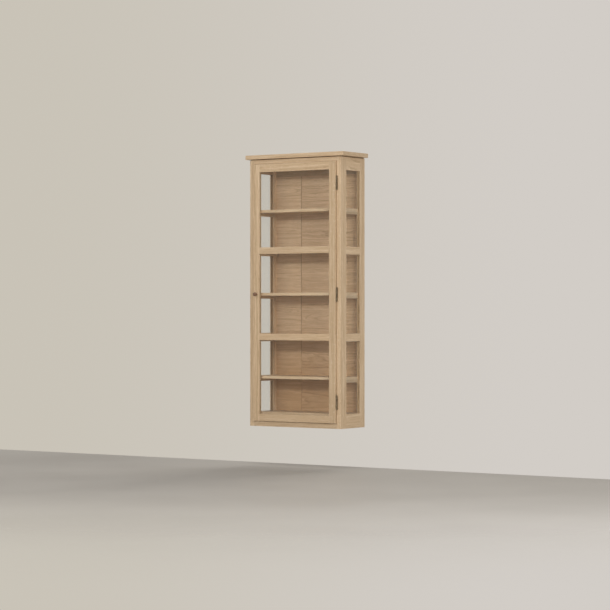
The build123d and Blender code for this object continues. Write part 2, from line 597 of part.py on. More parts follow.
for name, (low, high) in zip(PANE_NAMES, DOOR_WINDOWS):
    pane_x = grown((-DOOR_WINDOW_HALF, DOOR_WINDOW_HALF), REBATE - GLASS_PLAY)
    pane_z = grown((low, high), REBATE - GLASS_PLAY)
    with BuildPart() as door_pane:
        with BuildSketch(front_plane((DOOR_GLASS_FRONT + DOOR_GLASS_BACK) / 2)):
            with Locations((0, (pane_z[0] + pane_z[1]) / 2)):
                Rectangle(pane_x[1] - pane_x[0], pane_z[1] - pane_z[0])
        extrude(amount=GLASS_THICKNESS / 2, both=True)
    save(door_pane, f"door_{name}_pane")

with BuildPart() as door_beads:
    for low, high in DOOR_WINDOWS:
        for sign in SIDES.values():
            block((sign * DOOR_WINDOW_HALF, sign * (DOOR_WINDOW_HALF + REBATE)),
                  (DOOR_GLASS_BACK, DOOR_BACK), grown((low, high), REBATE))
        for z in ((low - REBATE, low), (high, high + REBATE)):
            block(grown((-DOOR_WINDOW_HALF, DOOR_WINDOW_HALF), -BEAD_JOINT),
                  (DOOR_GLASS_BACK, DOOR_BACK), z)
save(door_beads, "door_glazing_beads")

# ---------------------------------------------------------------- knob
with BuildPart() as knob:
    with BuildSketch(turning_plane(KNOB_FOOT, (0, -1, 0))):
        with BuildLine():
            foot = Line((0, 0), (KNOB_FOOT_RADIUS, 0))
            neck = ThreePointArc(foot @ 1, (KNOB_NECK_RADIUS, KNOB_NECK_AT),
                                 (KNOB_WAIST_RADIUS, KNOB_WAIST_AT))
            rim = ThreePointArc(neck @ 1, (KNOB_RADIUS, KNOB_RIM_AT),
                                (KNOB_SHOULDER_RADIUS, KNOB_SHOULDER_AT))
            Spline(rim @ 1, (KNOB_CROWN_RADIUS, KNOB_CROWN_AT), (0, KNOB_PROJECTION),
                   tangents=[rim % 1, (-1, 0)])
            Line((0, KNOB_PROJECTION), (0, 0))
        make_face()
    revolve(axis=Axis(KNOB_FOOT, (0, -1, 0)))
    rod(Plane(KNOB_FOOT, z_dir=(0, -1, 0)), BOLT_RADIUS, KNOB_BORE_DEPTH, Mode.SUBTRACT)
save(knob, "knob")

with BuildPart() as knob_bolt:
    seat = Plane((KNOB_X, BOLT_HEAD_SEAT, level(KNOB_HEIGHT)), z_dir=(0, 1, 0))
    rod(seat, BOLT_HEAD_RADIUS, BOLT_HEAD_HEIGHT)
    fillet(knob_bolt.edges().group_by(Axis.Y)[-1], BOLT_HEAD_ROUND)
    rod(Plane(seat.origin, z_dir=(0, -1, 0)), BOLT_RADIUS, BOLT_HEAD_SEAT - DOOR_FRONT + KNOB_BORE_DEPTH)
    block((KNOB_X - BOLT_HEAD_RADIUS, KNOB_X + BOLT_HEAD_RADIUS),
          (BOLT_HEAD_SEAT + BOLT_HEAD_HEIGHT - BOLT_HEAD_ROUND, BOLT_HEAD_SEAT + BOLT_HEAD_HEIGHT),
          grown((level(KNOB_HEIGHT), level(KNOB_HEIGHT)), SCREW_SLOT_WIDTH / 2), Mode.SUBTRACT)
save(knob_bolt, "knob_bolt")

# ---------------------------------------------------------------- magnetic catch and bumpers
with BuildPart() as magnet:
    rod(Plane((CATCH_X, STOP_FRONT, level(CATCH_HEIGHT)), z_dir=(0, 1, 0)), MAGNET_RADIUS, MAGNET_LENGTH)
save(magnet, "catch_magnet")

with BuildPart() as strike:
    rod(Plane(STRIKE_FACE, z_dir=(0, -1, 0)), STRIKE_RADIUS, STRIKE_THICKNESS)
    countersink(STRIKE_FACE, (0, -1, 0))
save(strike, "strike_plate")

with BuildPart() as strike_screw:
    add_screw(STRIKE_FACE, (0, -1, 0), STRIKE_SCREW_LENGTH)
save(strike_screw, "strike_screw")

with BuildPart() as bumpers:
    for span in STOP_SPANS.values():
        place = Plane((BUMPER_X, STOP_FRONT, level(sum(span) / 2)), z_dir=(0, -1, 0))
        rod(place, BUMPER_RADIUS, BUMPER_THICKNESS)
save(bumpers, "door_bumpers")

# ---------------------------------------------------------------- butt hinges
KNUCKLE_LENGTH = HINGE_LENGTH / HINGE_KNUCKLES


def knuckle_spans(centre, first):
    """Z spans of every other knuckle, starting with the one numbered first from the bottom."""
    bottom = level(centre) - HINGE_LENGTH / 2
    spans = []
    for number in range(first, HINGE_KNUCKLES, 2):
        low = bottom + number * KNUCKLE_LENGTH
        play_below = KNUCKLE_END_PLAY if number > 0 else 0.0
        spans.append((low + play_below, low + KNUCKLE_LENGTH))
    return spans


def add_knuckle(span, web_x, web_y, bore_radius):
    """Add one knuckle with the web that joins it to its leaf, and bore it for the pin."""
    block(web_x, web_y, span)
    rod(Plane((HINGE_AXIS_X, HINGE_AXIS_Y, span[0])), KNUCKLE_RADIUS, span[1] - span[0])
    rod(Plane((HINGE_AXIS_X, HINGE_AXIS_Y, span[0])), bore_radius, span[1] - span[0], Mode.SUBTRACT)


with BuildPart() as case_leaves:
    for centre in HINGE_CENTRES:
        block((POST_INNER, POST_INNER + LEAF_THICKNESS), (CASE_FRONT, CASE_FRONT + LEAF_WIDTH),
              grown((level(centre), level(centre)), HINGE_LENGTH / 2))
        for span in knuckle_spans(centre, 0):
            add_knuckle(span, (POST_INNER, POST_INNER + LEAF_THICKNESS), (HINGE_AXIS_Y, CASE_FRONT),
                        PIN_RADIUS)
    for z in screw_heights():
        countersink((POST_INNER, CASE_FRONT + LEAF_WIDTH / 2, z), (1, 0, 0))
save(case_leaves, "hinge_case_leaves")

with BuildPart() as door_leaves:
    web_y = (HINGE_AXIS_Y - WEB_WIDTH / 2, HINGE_AXIS_Y + WEB_WIDTH / 2)
    web_x = (DOOR_HALF, HINGE_AXIS_X - PIN_RADIUS - LEAF_THICKNESS)
    for centre in HINGE_CENTRES:
        block((DOOR_HALF - LEAF_THICKNESS, DOOR_HALF), (DOOR_LEAF_FRONT, DOOR_BACK),
              grown((level(centre), level(centre)), HINGE_LENGTH / 2))
        for span in knuckle_spans(centre, 1):
            add_knuckle(span, web_x, web_y, PIN_RADIUS + PIN_RUNNING_CLEARANCE)
    for z in screw_heights():
        countersink((DOOR_HALF, (DOOR_LEAF_FRONT + DOOR_BACK) / 2, z), (-1, 0, 0))
save(door_leaves, "hinge_door_leaves")

with BuildPart() as pins:
    for centre in HINGE_CENTRES:
        bottom = level(centre) - HINGE_LENGTH / 2
        rod(Plane((HINGE_AXIS_X, HINGE_AXIS_Y, bottom)), PIN_RADIUS, HINGE_LENGTH)
        for end, direction in ((bottom, -1), (bottom + HINGE_LENGTH, 1)):
            head = Plane((HINGE_AXIS_X, HINGE_AXIS_Y, end), z_dir=(0, 0, direction))
            rod(head, PIN_HEAD_RADIUS, PIN_HEAD_HEIGHT)
save(pins, "hinge_pins")

with BuildPart() as case_screws:
    for z in screw_heights():
        add_screw((POST_INNER, CASE_FRONT + LEAF_WIDTH / 2, z), (1, 0, 0), SCREW_LENGTH)
save(case_screws, "hinge_case_screws")

with BuildPart() as door_screws:
    for z in screw_heights():
        add_screw((DOOR_HALF, (DOOR_LEAF_FRONT + DOOR_BACK) / 2, z), (-1, 0, 0), SCREW_LENGTH)
save(door_screws, "hinge_door_screws")
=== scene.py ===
import math
import random

import bmesh
import bpy
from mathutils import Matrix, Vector


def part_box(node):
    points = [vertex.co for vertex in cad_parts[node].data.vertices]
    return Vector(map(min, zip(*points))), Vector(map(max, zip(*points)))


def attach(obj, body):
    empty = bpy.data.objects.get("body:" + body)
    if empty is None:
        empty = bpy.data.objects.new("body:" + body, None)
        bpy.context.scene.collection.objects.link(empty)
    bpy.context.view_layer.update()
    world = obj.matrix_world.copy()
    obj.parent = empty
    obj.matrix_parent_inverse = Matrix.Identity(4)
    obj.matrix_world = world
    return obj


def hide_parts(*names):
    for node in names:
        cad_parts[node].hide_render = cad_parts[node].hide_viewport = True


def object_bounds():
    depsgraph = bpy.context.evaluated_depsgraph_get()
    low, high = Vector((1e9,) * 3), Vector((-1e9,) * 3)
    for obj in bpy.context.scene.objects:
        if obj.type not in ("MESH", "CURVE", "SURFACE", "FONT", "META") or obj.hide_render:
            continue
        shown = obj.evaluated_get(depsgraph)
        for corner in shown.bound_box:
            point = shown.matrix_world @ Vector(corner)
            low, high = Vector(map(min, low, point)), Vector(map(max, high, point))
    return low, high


# A wall-hung display cabinet in pale oak and glass. The CAD nodes keep their places and get eased edges and
# node-based materials. Only the glazing beads are replaced, by finer meshes.
# Lengths are in metres and angles in degrees, unless a comment says otherwise. The wall is the plane y = 0,
# -Y is the cabinet's front and +Z is up.

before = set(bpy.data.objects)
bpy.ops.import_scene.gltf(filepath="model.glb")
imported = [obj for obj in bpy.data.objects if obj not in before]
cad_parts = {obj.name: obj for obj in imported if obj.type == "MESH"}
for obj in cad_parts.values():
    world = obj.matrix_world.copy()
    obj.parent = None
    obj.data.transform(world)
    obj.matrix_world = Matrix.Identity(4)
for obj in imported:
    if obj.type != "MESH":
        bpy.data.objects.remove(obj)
CAD_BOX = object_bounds()

# ---------------------------------------------------------------- driving values
# The camera's place, its turn about Z in radians, its lens and sensor in mm, and how far it sees.
CAMERA_PLACE = (6.7625, -10.0018, -0.7837)
CAMERA_TURN = 0.601
CAMERA_LENS = 127.96
CAMERA_SHIFT_Y = 0.006
CAMERA_FAR = 100.0
SENSOR_WIDTH = 36.0

# The floor: how far below the cabinet it lies, its size, the distances from the cabinet between which it
# fades away, and its darker and lighter shade.
FLOOR_DROP = 0.2204
FLOOR_WIDTH = 60.0
FLOOR_REACH = 30.0
FLOOR_FADE = (1.5, 5.5)
FLOOR_DARK = (0.40, 0.375, 0.34)
FLOOR_LIGHT = (0.46, 0.435, 0.40)
FLOOR_SPECULAR = 0.25

# What the camera sees behind the cabinet: two shades that meet softly where a direction's X is in the
# corner's range.
WALL_LEFT = (0.584, 0.546, 0.474)
WALL_RIGHT = (0.645, 0.610, 0.571)
WALL_CORNER = (-0.68, -0.46)

# The light from all round, and the stronger light from ahead. That one grows with the cosine of the angle
# from the bright side, and stops below the horizon, which is a range of a direction's Z.
AMBIENT = (0.300, 0.292, 0.282)
AMBIENT_AHEAD = (0.620, 0.610, 0.595)
BRIGHT_SIDE = (0.50, -0.866, 0.0)
BRIGHT_SPREAD = (0.35, 0.95)
BRIGHT_HORIZON = (-0.025, -0.005)

# Each lamp's azimuth, elevation and distance, its width and height, its watts and its colour.
LAMPS = {
    "key": ((6, 14, 6.5), (4.5, 0.5), 113.0, (1.0, 0.975, 0.94)),
    "overhead": ((15, 62, 6.0), (2.5, 2.5), 80.0, (1.0, 0.985, 0.96)),
    "left": ((-76, 8, 6.0), (3.0, 3.0), 30.0, (1.0, 0.98, 0.95)),
    "right": ((64, 7, 6.0), (3.2, 2.4), 144.0, (1.0, 0.985, 0.96)),
    "back": ((180, 30, 6.0), (3.0, 3.0), 190.0, (1.0, 0.98, 0.95))}

# The colours of oak: the wood from light to dark, its pores and ray flecks, worn edges, and the dark
# brown of the painted shade in joints, the groove and reveals.
OAK_LIGHT = (0.720, 0.560, 0.385)
OAK_MID = (0.590, 0.430, 0.272)
OAK_DARK = (0.390, 0.262, 0.148)
OAK_PORE = (0.200, 0.122, 0.062)
OAK_FLECK = (0.780, 0.640, 0.470)
OAK_WORN = (0.740, 0.590, 0.425)
OAK_PAINTED_SHADE = (0.180, 0.092, 0.040)

# Each visible oak node's tone, in steps of TONE_STEP of its brightness. Other nodes get a random one.
TONE_STEP = 0.08
TONE_SWING = 1.0
# Shelves 1, 3 and 5 and the rear left post have high tones as painted light, for the light inside the case.
TONES = {
    "top_board": 0.3, "front_top_rail": 0.0, "front_bottom_rail": -1.1, "front_right_post": 0.0,
    "front_left_post": -0.2, "rear_right_post": 0.2, "rear_left_post": 3.4,
    "right_side_top_rail": 0.8, "right_side_upper_rail": 0.4, "right_side_lower_rail": 0.6,
    "right_side_bottom_rail": 0.0, "door_left_stile": -0.2, "door_right_stile": -1.5,
    "door_top_rail": -0.5, "door_upper_rail": -1.1, "door_lower_rail": -0.1, "door_bottom_rail": -1.1,
    "back_board_left": 0.9, "back_board_centre": 0.8, "back_board_right": 1.0,
    "shelf_1": 2.6, "shelf_2": 0.5, "shelf_3": 3.2, "shelf_4": 0.4, "shelf_5": 2.5, "bottom_board": 0.3}

# Painted light and shade on each back board: colour factors above and below the two heights between
# which they change, lighter above and darker and warmer below.
BACK_LIGHT_AND_SHADE = {
    "back_board_left": ((1.21, 1.20, 1.22), (0.96, 0.84, 0.72)),
    "back_board_centre": ((1.14, 1.12, 1.13), (0.93, 0.82, 0.71)),
    "back_board_right": ((1.27, 1.23, 1.17), (1.07, 0.96, 0.84))}
BACK_LIGHT_AND_SHADE_HEIGHTS = (-0.75, -1.25)

# Painted shade on the left side's glazing beads and painted light on the right side's: colour factors, and
# the distances in from the glass between which they end.
BEAD_LIGHT_AND_SHADE = {"left": (0.62, 0.50, 0.37), "right": (1.14, 1.10, 1.02)}
BEAD_LIGHT_AND_SHADE_END = (0.007, 0.013)

# The groove under the top board, which is darkened with painted shade, and the nodes that it runs along.
GROOVE_HEIGHT = 0.004
GROOVED = ("front_left_post", "front_right_post", "rear_left_post", "rear_right_post", "front_top_rail",
           "left_side_top_rail", "right_side_top_rail")

# The widths of the strips that the wide panels are made of.
VENEER_LEAF = 0.236
TOP_STAVE = 0.0834
SHELF_STAVE = 0.068

# Eased edges: their widths and steps, and the angle from which an edge is sharp. Points closer than the weld
# gap are joined first, and faces flatter to each other than the flat angle.
ARRIS_WIDTH = 0.0005
ARRIS_STEPS = 2
PANE_ARRIS = 0.0004
BUMPER_ARRIS = 0.0009
BUMPER_ARRIS_STEPS = 5
SHARP_ANGLE = 30.0
WELD_GAP = 1e-5
FLAT_ANGLE = 0.5

# Glazing beads: a strip's width, its rounded edge, which takes at most a share of each side, the gap where
# two strips meet, and the room between a pane's edge and its rebate.
BEAD_WIDTH = 0.008
BEAD_ROUND = 0.005
BEAD_ROUND_SHARE = 0.8
BEAD_STEPS = 8
BEAD_GAP = 0.0002
BEAD_ARRIS = ARRIS_WIDTH * 0.7
BEAD_SHARP_ANGLE = 40.0
BEAD_TONE_SWING = 0.6
BEAD_UPRIGHT_CUT = (30, 0.15)           # the pith's angle and distance
BEAD_LEVEL_CUT = (50, 0.13)
PANE_PLAY = 0.001
UP = Vector((0, 0, 1))

random.seed(20)


# ---------------------------------------------------------------- node helpers
def add_node(tree, kind, inputs=None, **settings):
    """Add a shader node, set its options, and link or set its inputs."""
    node = tree.nodes.new("ShaderNode" + kind)
    for key, value in settings.items():
        setattr(node, key, value)
    for key, value in (inputs or {}).items():
        if isinstance(value, bpy.types.NodeSocket):
            tree.links.new(value, node.inputs[key])
        else:
            node.inputs[key].default_value = value
    return node


def object_point(tree):
    """The point on the surface in the object's own space, which is the shared frame at rest."""
    return add_node(tree, "TexCoord").outputs["Object"]


def calc(tree, operation, *values):
    """The output of a Math node on sockets or numbers."""
    return add_node(tree, "Math", dict(enumerate(values)), operation=operation).outputs[0]


def total(tree, *parts):
    """The sum of several sockets."""
    result = parts[0]
    for part in parts[1:]:
        result = calc(tree, "ADD", result, part)
    return result


def scaled(tree, vector, factors):
    """A vector stretched by three factors."""
    return add_node(tree, "VectorMath", {0: vector, 1: factors}, operation="MULTIPLY").outputs[0]


def noise(tree, vector, factors, detail=2.0, roughness=0.5):
    """A noise node on a stretched vector. Factors are features per metre along each axis."""
    return add_node(tree, "TexNoise", {"Vector": scaled(tree, vector, factors), "Scale": 1.0,
                                       "Detail": detail, "Roughness": roughness})


def line_noise(tree, value, factor):
    """Noise along one value. The factor is features per unit of it."""
    along = calc(tree, "MULTIPLY", value, factor)
    return add_node(tree, "TexNoise", {"W": along, "Scale": 1.0, "Detail": 1.0},
                    noise_dimensions="1D").outputs[0]


def ramp(tree, value, low, high, to_low=0.0, to_high=1.0):
    """A smooth step of a value from one range to another."""
    node = add_node(tree, "MapRange", {"Value": value, "From Min": low, "From Max": high,
                                       "To Min": to_low, "To Max": to_high}, interpolation_type="SMOOTHSTEP")
    return node.outputs[0]


def mixed(tree, factor, a, b, blend="MIX"):
    """A colour mix of sockets or RGB tuples."""
    node = add_node(tree, "Mix", data_type="RGBA", blend_type=blend)
    for key, value in ((0, factor), (6, a), (7, b)):
        if isinstance(value, bpy.types.NodeSocket):
            tree.links.new(value, node.inputs[key])
        else:
            node.inputs[key].default_value = (*value, 1.0) if isinstance(value, tuple) else value
    return node.outputs[2]


def new_group(name, inputs, outputs):
    """An empty node group with its sockets, and its two end nodes."""
    tree = bpy.data.node_groups.new(name, "ShaderNodeTree")
    for sockets, way in ((inputs, "INPUT"), (outputs, "OUTPUT")):
        for socket, kind in sockets:
            tree.interface.new_socket(socket, in_out=way, socket_type="NodeSocket" + kind)
    return tree, tree.nodes.new("NodeGroupInput"), tree.nodes.new("NodeGroupOutput")


def new_material(name):
    """An empty node material, with its tree and its output node."""
    material = bpy.data.materials.new(name)
    material.use_nodes = True
    material.node_tree.nodes.clear()
    return material, material.node_tree, add_node(material.node_tree, "OutputMaterial")


# ---------------------------------------------------------------- oak
# The wood in its tree, with the pith along X. Scales are features per metre along X, Y and Z. A range is the
# part of a noise's values over which a feature comes in.
BOW_SWING = (0.0, 0.026, 0.026)
BOW_SCALE = (1.9, 8.0, 8.0)
WANDER_SWING = (0.0, 0.0058, 0.0058)
WANDER_SCALE = (12.0, 42.0, 42.0)
RINGS_PER_METRE = 290.0
RING_DRIFT = 6.0                # rings
RING_DRIFT_SCALE = 60.0
EARLY_END = 0.45                # share of a ring
LATE_END = 0.90
SEASON_SCALE = 0.37             # per ring
SEASON_RANGE = (0.30, 0.70)
PORE_SCALE = (120.0, 2200.0, 2200.0)
PORE_RANGE = (0.52, 0.66)
PORE_IN_EARLY = 0.80
PORE_ANYWHERE = 0.20
FIBRE_SCALE = (16.0, 620.0, 620.0)
FIBRE_RANGE = (0.32, 0.68)
STREAK_SCALE = (4.0, 75.0, 75.0)
STREAK_RANGE = (0.38, 0.62)
RAY_SCALE = (85.0, 1000.0, 55.0)        # along the pith, round it and out from it
FLECK_RANGE = (0.60, 0.70)

# How dark each feature makes the wood, and over which depths light wood turns mid and mid wood turns dark.
EARLY_DEPTH = 0.26
FIBRE_DEPTH = 0.34
STREAK_DEPTH = 0.27
SEASON_DEPTH = 0.20
MID_DEPTHS = (0.0, 0.55)
DARK_DEPTHS = (0.5, 1.15)

# How strongly the other colours show, what end grain does to the brightness, and how green and blue follow
# the brightness, as a factor and an offset.
FLECK_SHOW = 0.34
PORE_SHOW = 0.72
WORN_SHOW = 0.45
END_STEP = -0.04
GREEN_FOLLOWS = (1.06, -0.06)
BLUE_FOLLOWS = (1.14, -0.14)

# Roughness: that of plain wood, and what each feature adds. Height: what each feature adds.
WOOD_ROUGH = 0.46
FLECK_ROUGH = -0.07
PORE_ROUGH = 0.16
FIBRE_ROUGH = 0.12
WORN_ROUGH = -0.10
PORE_HEIGHT = -1.0
EARLY_HEIGHT = -0.25
FIBRE_HEIGHT = -0.35


def shifted(tree, vector, amounts, factors, detail):
    """A vector moved by centred noise: the amounts are its full swing in metres along each axis."""
    swing = noise(tree, vector, factors, detail=detail)
    centred = add_node(tree, "VectorMath", {0: swing.outputs["Color"], 1: (0.5, 0.5, 0.5)},
                       operation="SUBTRACT")
    return add_node(tree, "VectorMath", {0: scaled(tree, centred.outputs[0], amounts), 1: vector},
                    operation="ADD").outputs[0]


def oak_group():
    """Solid oak about a pith that runs along X: growth rings, pores, fibres and ray flecks, at real scale."""
    tree, given, result = new_group(
        "oak_wood",
        [("Point", "Vector"), ("End", "Float"), ("Tone", "Float"), ("Edge", "Float")],
        [("Color", "Color"), ("Roughness", "Float"), ("Height", "Float")])
    bowed = shifted(tree, given.outputs["Point"], BOW_SWING, BOW_SCALE, 1.0)
    wood = shifted(tree, bowed, WANDER_SWING, WANDER_SCALE, 2.0)

    axes = add_node(tree, "SeparateXYZ", {0: wood})
    radius = add_node(tree, "VectorMath", {0: scaled(tree, wood, (0.0, 1.0, 1.0))},
                      operation="LENGTH").outputs["Value"]
    angle = calc(tree, "ARCTAN2", axes.outputs[2], axes.outputs[1])
    drift = calc(tree, "MULTIPLY", line_noise(tree, radius, RING_DRIFT_SCALE), RING_DRIFT)
    age = calc(tree, "MULTIPLY_ADD", radius, RINGS_PER_METRE, drift)
    ring = calc(tree, "FRACT", age)
    early = calc(tree, "MAXIMUM", ramp(tree, ring, 0.0, EARLY_END, 1.0, 0.0), ramp(tree, ring, LATE_END, 1.0))
    season = line_noise(tree, age, SEASON_SCALE)

    pores = noise(tree, wood, PORE_SCALE, detail=2.0, roughness=0.6).outputs[0]
    pore = calc(tree, "MULTIPLY", ramp(tree, pores, *PORE_RANGE),
                calc(tree, "MULTIPLY_ADD", early, PORE_IN_EARLY, PORE_ANYWHERE))
    fibre = noise(tree, wood, FIBRE_SCALE, detail=3.0, roughness=0.6).outputs[0]
    streak = noise(tree, wood, STREAK_SCALE, detail=3.0, roughness=0.6).outputs[0]
    rays = add_node(tree, "CombineXYZ", {
        0: calc(tree, "MULTIPLY", axes.outputs[0], RAY_SCALE[0]),
        1: calc(tree, "MULTIPLY", calc(tree, "MULTIPLY", angle, radius), RAY_SCALE[1]),
        2: calc(tree, "MULTIPLY", radius, RAY_SCALE[2])})
    ray_noise = add_node(tree, "TexNoise", {"Vector": rays.outputs[0], "Scale": 1.0, "Detail": 1.0})
    fleck = ramp(tree, ray_noise.outputs[0], *FLECK_RANGE)

    depth = total(tree, calc(tree, "MULTIPLY", early, EARLY_DEPTH),
                  ramp(tree, fibre, *FIBRE_RANGE, 0.0, FIBRE_DEPTH),
                  ramp(tree, streak, *STREAK_RANGE, 0.0, STREAK_DEPTH),
                  ramp(tree, season, *SEASON_RANGE, 0.0, SEASON_DEPTH))
    colour = mixed(tree, ramp(tree, depth, *MID_DEPTHS), OAK_LIGHT, OAK_MID)
    colour = mixed(tree, ramp(tree, depth, *DARK_DEPTHS), colour, OAK_DARK)
    colour = mixed(tree, calc(tree, "MULTIPLY", fleck, FLECK_SHOW), colour, OAK_FLECK)
    colour = mixed(tree, calc(tree, "MULTIPLY", pore, PORE_SHOW), colour, OAK_PORE)
    colour = mixed(tree, calc(tree, "MULTIPLY", given.outputs["Edge"], WORN_SHOW), colour, OAK_WORN)
    toned = calc(tree, "MULTIPLY_ADD", given.outputs["Tone"], TONE_STEP, 1.0)
    shade = calc(tree, "MULTIPLY", toned, calc(tree, "MULTIPLY_ADD", given.outputs["End"], END_STEP, 1.0))
    grey = add_node(tree, "CombineColor", {0: shade, 1: calc(tree, "MULTIPLY_ADD", shade, *GREEN_FOLLOWS),
                                           2: calc(tree, "MULTIPLY_ADD", shade, *BLUE_FOLLOWS)})
    colour = mixed(tree, 1.0, colour, grey.outputs[0], "MULTIPLY")

    rough = total(tree, calc(tree, "MULTIPLY_ADD", fleck, FLECK_ROUGH, WOOD_ROUGH),
                  calc(tree, "MULTIPLY", pore, PORE_ROUGH), calc(tree, "MULTIPLY", fibre, FIBRE_ROUGH),
                  calc(tree, "MULTIPLY", given.outputs["Edge"], WORN_ROUGH))
    height = total(tree, calc(tree, "MULTIPLY", pore, PORE_HEIGHT),
                   calc(tree, "MULTIPLY", early, EARLY_HEIGHT), calc(tree, "MULTIPLY", fibre, FIBRE_HEIGHT))
    for name, value in (("Color", colour), ("Roughness", rough), ("Height", height)):
        tree.links.new(value, result.inputs[name])
    return tree


OAK = oak_group()

# How a piece is sawn: the axes along the grain, across it and up, for each grain axis. Each strip of a
# panel is cut STRIP_SHIFT further along its log, with tones that spread by STRIP_TONES. A piece is cut
# anywhere within LOG_REACH of its log's middle, with its grain up to GRAIN_TILT out of line.
GRAIN_ORDER = {"X": (0, 1, 2), "Y": (1, 2, 0), "Z": (2, 0, 1)}
STRIP_SHIFT = 1.37
STRIP_TONES = 1.4
LOG_REACH = 3.0
GRAIN_TILT = 0.8
END_FACING = (0.6, 0.95)        # the part of the normal along the grain on end grain
OAK_BUMP = 0.6
OAK_BUMP_DEPTH = 0.00012
OAK_SPECULAR = 0.35

# Wear on edges: the radius in which it counts, how far the rounded normal turns there, as a cosine, and the
# patches that break it up.
WEAR_RADIUS = 0.002
WEAR_TURN = (0.995, 0.86)
WEAR_PATCHES = (60.0, 60.0, 60.0)
WEAR_PATCH_RANGE = (0.35, 0.65)
WEAR_LEAST = 0.25

# Painted shade in the groove under the top, in the windows' reveals and along the back's seams. In a reveal
# it starts just inside the outer face and stops just past the glass, and on a stile it stops just past the
# inner edge. Along a seam it fades out from the board's edge, and is stronger above the higher of two
# heights.
REVEAL_PAINTED_SHADE = 0.55
REVEAL_START = 0.001
REVEAL_STOP = (0.0005, 0.001)
STILE_STOP = (0.001, 0.002)
GROOVE_PAINTED_SHADE = 0.85
GROOVE_BLUR = 0.0003
SEAM_FADE = (0.0060, 0.0015)
SEAM_HEIGHTS = (-1.15, -0.75)
SEAM_PAINTED_SHADES = (0.12, 0.42)


def worn_edge(tree):
    """How close a point is to a sharp edge, from 0 to 1, broken up as handling wears it."""
    rounded = add_node(tree, "Bevel", {"Radius": WEAR_RADIUS}, samples=4)
    true_normal = add_node(tree, "NewGeometry").outputs["Normal"]
    turned = add_node(tree, "VectorMath", {0: rounded.outputs[0], 1: true_normal}, operation="DOT_PRODUCT")
    near = ramp(tree, turned.outputs["Value"], *WEAR_TURN)
    patches = noise(tree, object_point(tree), WEAR_PATCHES, detail=3.0).outputs[0]
    return calc(tree, "MULTIPLY", near, ramp(tree, patches, *WEAR_PATCH_RANGE, WEAR_LEAST, 1.0))


def painted_reveal_shade(tree, inward, to_glass):
    """Painted shade on a window's reveal: it deepens from the outer face to the glass, and stops there."""
    deeper = ramp(tree, inward, REVEAL_START, to_glass, 0.0, REVEAL_PAINTED_SHADE)
    before_glass = ramp(tree, inward, to_glass + REVEAL_STOP[0], to_glass + REVEAL_STOP[1], 1.0, 0.0)
    return calc(tree, "MULTIPLY", deeper, before_glass)


def painted_joint_shade(tree, name, point):
    """How much painted shade darkens the groove, the reveals and the back's seams, or None."""
    # Painted shade along the seams between the back boards, stronger higher up.
    if name.startswith("back_board"):
        low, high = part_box(name)
        middle = (low.x + high.x) / 2
        from_middle = calc(tree, "ABSOLUTE", calc(tree, "SUBTRACT", point.outputs["X"], middle))
        half = (high.x - low.x) / 2
        near = ramp(tree, from_middle, half - SEAM_FADE[0], half - SEAM_FADE[1])
        return calc(tree, "MULTIPLY", near, ramp(tree, point.outputs["Z"], *SEAM_HEIGHTS, *SEAM_PAINTED_SHADES))
    painted_shade = None
    # Painted shade in the door's reveals, and on a stile only up to its inner edge.
    if name.startswith("door_"):
        front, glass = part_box(name)[0].y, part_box("door_top_pane")[0].y
        painted_shade = painted_reveal_shade(tree, calc(tree, "SUBTRACT", point.outputs["Y"], front), glass - front)
        if name.endswith("_stile"):
            inner = min(abs(corner.x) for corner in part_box(name))
            reveal = ramp(tree, calc(tree, "ABSOLUTE", point.outputs["X"]), inner + STILE_STOP[0],
                          inner + STILE_STOP[1], 1.0, 0.0)
            painted_shade = calc(tree, "MULTIPLY", painted_shade, reveal)
    # Painted shade in the side windows' reveals.
    elif "_side_" in name:
        outer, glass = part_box("right_side_top_rail")[1].x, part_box("right_top_pane")[1].x
        inward = calc(tree, "SUBTRACT", outer, calc(tree, "ABSOLUTE", point.outputs["X"]))
        painted_shade = painted_reveal_shade(tree, inward, outer - glass)
    # Painted shade in the groove under the top board.
    if name in GROOVED:
        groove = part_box("top_board")[0].z - GROOVE_HEIGHT
        line = ramp(tree, point.outputs["Z"], groove - GROOVE_BLUR, groove + GROOVE_BLUR, 0.0, GROOVE_PAINTED_SHADE)
        painted_shade = calc(tree, "MAXIMUM", painted_shade, line) if painted_shade else line
    return painted_shade


